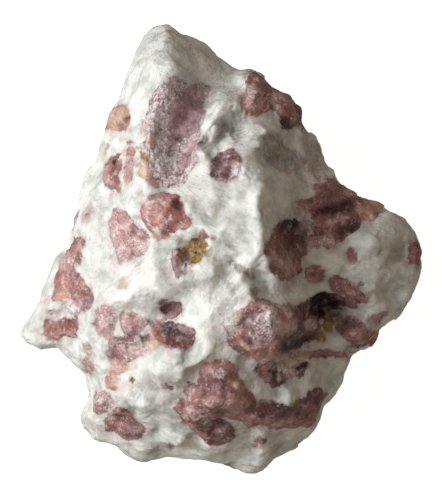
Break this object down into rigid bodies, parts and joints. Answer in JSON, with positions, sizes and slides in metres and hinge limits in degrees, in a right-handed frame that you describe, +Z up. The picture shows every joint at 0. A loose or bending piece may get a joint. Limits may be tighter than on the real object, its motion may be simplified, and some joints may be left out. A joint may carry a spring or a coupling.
{
  "type": "mineral specimen",
  "caption": "Rough rose tourmaline crystals and lilac mica grown in a broken lump of fibrous white albite.",
  "frame": {"origin": "at the foot of the stone, under the middle of its box", "axes": "+Z up from the table that the stone lies on, +Y towards its pointed end, +X to the right seen from above"},
  "size_m": [0.0604, 0.0676, 0.035],
  "materials": {
    "white": "satin",
    "rose": "satin",
    "dusky": "satin",
    "dark": "satin",
    "pale": "satin",
    "orange": "satin",
    "lilac": "satin",
    "gold": "satin"
  },
  "bodies": {
    "root": {"albite_matrix": "white", "golden_grain": "gold", "lepidolite_mica": "lilac", "tourmaline_amber_lump": "orange", "tourmaline_bead": "rose", "tourmaline_black_speckled": "dark", "tourmaline_dark_hexagon": "dark", "tourmaline_dark_hollow": "dark", "tourmaline_eye": "dusky", "tourmaline_foot_blade": "dusky", "tourmaline_foot_mass": "rose", "tourmaline_foot_side": "rose", "tourmaline_frosted": "pale", "tourmaline_head_side": "dusky", "tourmaline_heart": "rose", "tourmaline_left_flank": "rose", "tourmaline_left_knob": "orange", "tourmaline_left_side": "pale", "tourmaline_left_sliver": "dusky", "tourmaline_left_tip": "rose", "tourmaline_long_prism": "rose", "tourmaline_lower_left": "dusky", "tourmaline_nugget": "dusky", "tourmaline_pale_wedge": "pale", "tourmaline_pit": "dark", "tourmaline_right_lump": "dusky", "tourmaline_right_side": "rose", "tourmaline_right_splinter": "dusky", "tourmaline_rosy": "rose", "tourmaline_shoulder": "rose", "tourmaline_striated_prism": "dusky", "tourmaline_sugary": "pale", "tourmaline_under_head": "rose", "tourmaline_under_left": "rose", "tourmaline_under_right": "dusky"}
  },
  "joints": []
}
